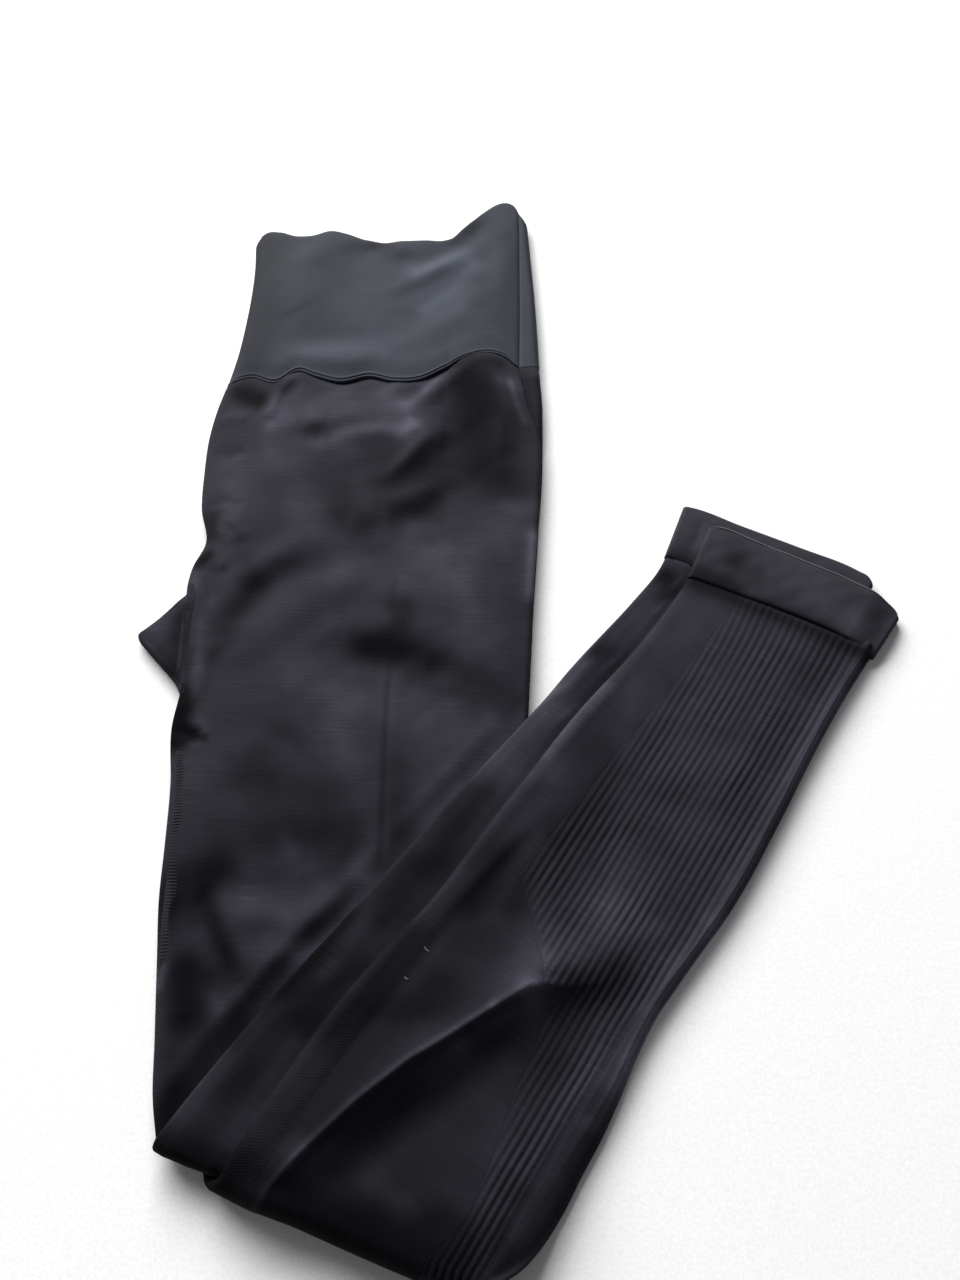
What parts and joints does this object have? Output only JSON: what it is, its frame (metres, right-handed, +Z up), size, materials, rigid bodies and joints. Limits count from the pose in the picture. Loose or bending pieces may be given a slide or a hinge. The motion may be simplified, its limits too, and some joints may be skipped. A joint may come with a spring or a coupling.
{
  "type": "folded leggings",
  "caption": "Dark charcoal seamless knit leggings with a high waistband, ribbed calf zones and hemmed cuffs, folded in half lengthwise and folded back at the knee.",
  "frame": {"origin": "centre of the part's outline on the surface it lies on", "axes": "+Y along the thighs to the waistband, +X to the right towards the ankles, +Z up from the surface"},
  "size_m": [0.3368, 0.5346, 0.0207],
  "materials": {
    "waistband_knit": "smooth satin knit",
    "leg_knit": "fine knit",
    "gusset_knit": "fine knit",
    "rib_knit": "ribbed knit",
    "cuff_knit": "doubled knit",
    "inner_knit": "knit inside"
  },
  "bodies": {
    "root": {"waistband": "waistband_knit", "right_leg": "leg_knit", "left_leg": "leg_knit", "gusset": "gusset_knit", "left_calf_ribs": "rib_knit", "right_cuff": "cuff_knit", "left_cuff": "cuff_knit", "hidden_layers": "inner_knit"}
  },
  "joints": []
}
